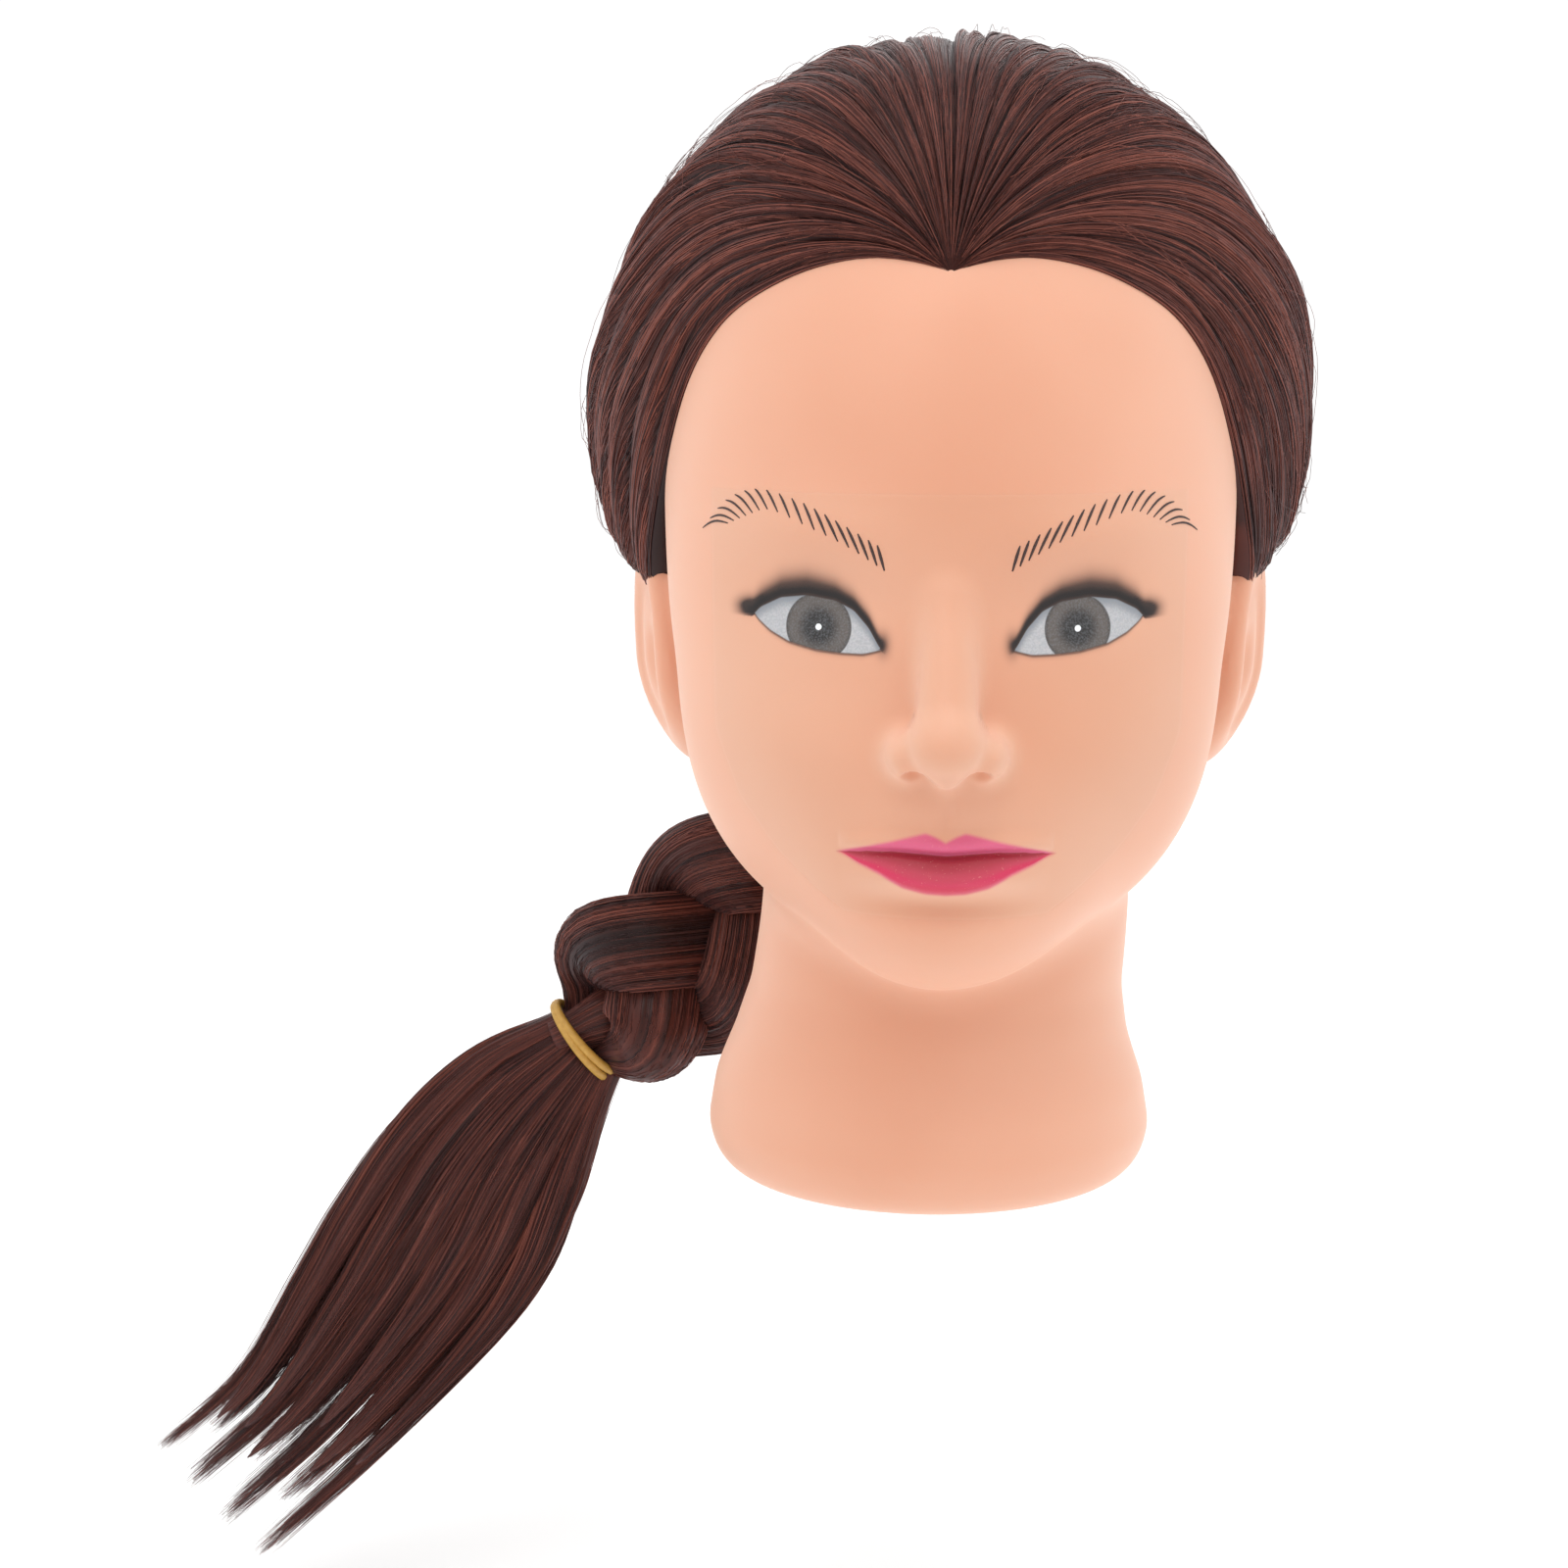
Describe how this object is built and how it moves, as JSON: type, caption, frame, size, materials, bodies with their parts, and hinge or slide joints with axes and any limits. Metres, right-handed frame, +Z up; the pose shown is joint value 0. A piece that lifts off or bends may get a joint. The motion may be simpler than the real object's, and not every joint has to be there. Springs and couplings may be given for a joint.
{
  "type": "mannequin training head",
  "caption": "Practice head for hairdressing: soft vinyl head and neck with a painted face, swept-back synthetic hair in a banded plait, and a clamp socket in the neck.",
  "frame": {"origin": "centre of the neck base, at the mouth of the clamp socket", "axes": "+Z up the neck, -Y the way the face looks, +X the head's own left"},
  "size_m": [0.3268, 0.221, 0.4294],
  "materials": {
    "soft_vinyl": "matte soft vinyl in a peach tone, painted eyes, brows and lips",
    "foam": "open-cell foam",
    "base_plastic": "moulded plastic with a fine grain",
    "socket_plastic": "moulded dark plastic",
    "screw_steel": "zinc plated",
    "hair_fibre": "dark reddish brown synthetic hair, soft sheen along the strands",
    "band_rubber": "ochre rubber band"
  },
  "bodies": {
    "head": {"head_skin": "soft_vinyl", "foam_core": "foam", "base_plug": "base_plastic", "clamp_socket": "socket_plastic", "flange_screw_1": "screw_steel", "flange_screw_2": "screw_steel", "flange_screw_3": "screw_steel", "hair_front": "hair_fibre", "hair_left": "hair_fibre", "hair_right": "hair_fibre", "hair_back": "hair_fibre", "hair_crown": "hair_fibre"},
    "gather": {"nape_gather": "hair_fibre"},
    "plait": {"plait_strand_1": "hair_fibre", "plait_strand_2": "hair_fibre", "plait_strand_3": "hair_fibre", "elastic_band": "band_rubber"},
    "tail": {"tail_lock_1": "hair_fibre", "tail_lock_2": "hair_fibre", "tail_lock_3": "hair_fibre", "tail_lock_4": "hair_fibre", "tail_lock_5": "hair_fibre", "tail_lock_6": "hair_fibre", "tail_lock_7": "hair_fibre"}
  },
  "joints": [
    {"name": "plait_swing", "type": "hinge", "parent": "head", "child": "gather", "pos_m": [0.004, 0.078, 0.094], "axis": [0, 1, 0], "range_deg": [-130, 26]},
    {"name": "plait_lift", "type": "hinge", "parent": "gather", "child": "plait", "pos_m": [0.004, 0.078, 0.094], "axis": [0.6293, 0, -0.7771], "range_deg": [0, 70]},
    {"name": "tail_bend", "type": "hinge", "parent": "plait", "child": "tail", "pos_m": [-0.09843, 0.078, 0.01106], "axis": [0, 1, 0], "range_deg": [-45, 45]}
  ]
}
